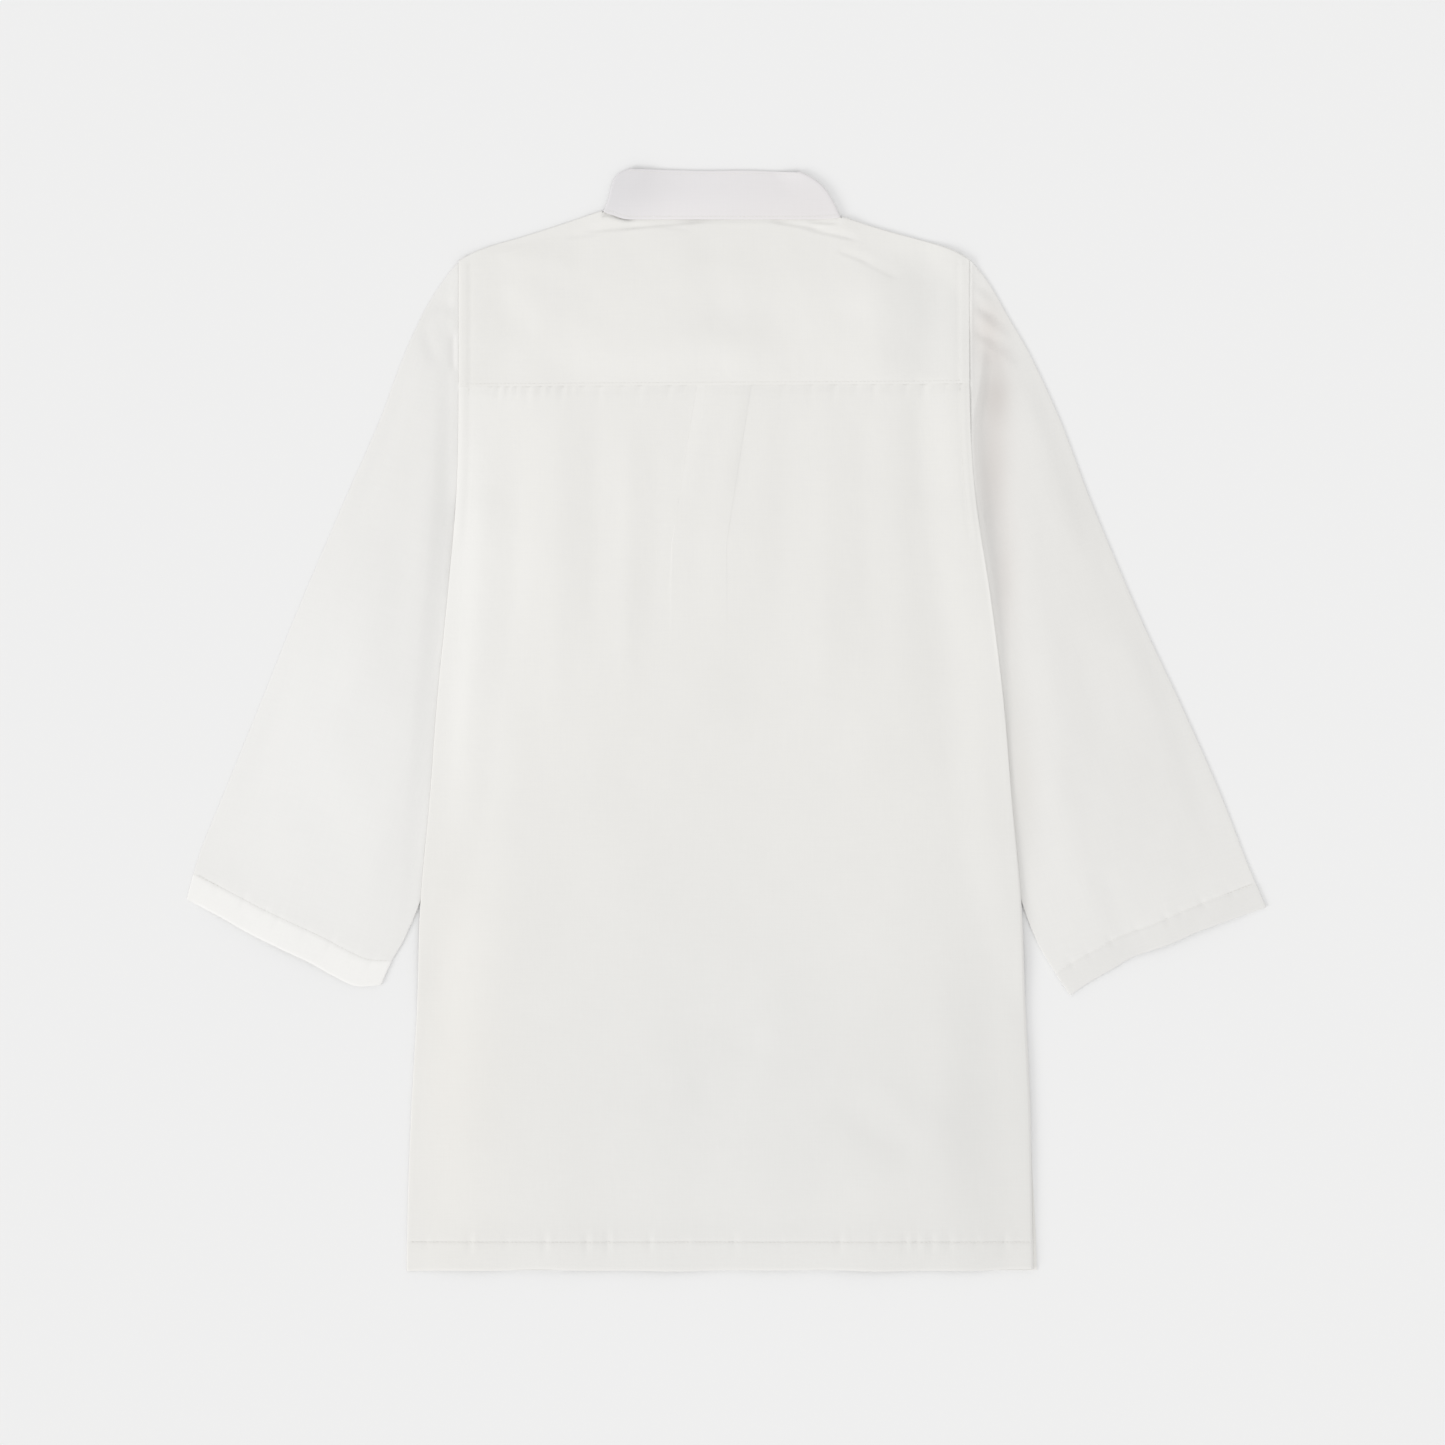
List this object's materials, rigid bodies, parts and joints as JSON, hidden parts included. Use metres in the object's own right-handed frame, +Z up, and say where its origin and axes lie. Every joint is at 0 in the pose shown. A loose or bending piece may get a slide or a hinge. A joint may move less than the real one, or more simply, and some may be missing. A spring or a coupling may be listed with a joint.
{
  "type": "kameez",
  "caption": "Plain white kameez with band collar, back yoke, centre box pleat and long sleeves, laid flat on its front.",
  "frame": {"origin": "bottom centre of the bounding box, on the surface that the shirt lies on", "axes": "+X to the wearer's right, +Y from the hem towards the collar, +Z up from the surface, out of the shirt's back"},
  "size_m": [0.8632, 0.8818, 0.009],
  "materials": {
    "cotton": "plain off-white cotton weave, matt",
    "collar_cotton": "same cotton over a stiffening, a little cooler and denser",
    "button": "white shirt button, soft gloss"
  },
  "bodies": {
    "root": {"back_panel": "cotton", "back_yoke": "cotton", "front_panel": "cotton", "sleeve_left": "cotton", "sleeve_right": "cotton", "collar_band": "collar_cotton", "placket_outer": "cotton", "placket_under": "cotton", "button_1": "button", "button_2": "button", "button_3": "button"}
  },
  "joints": []
}
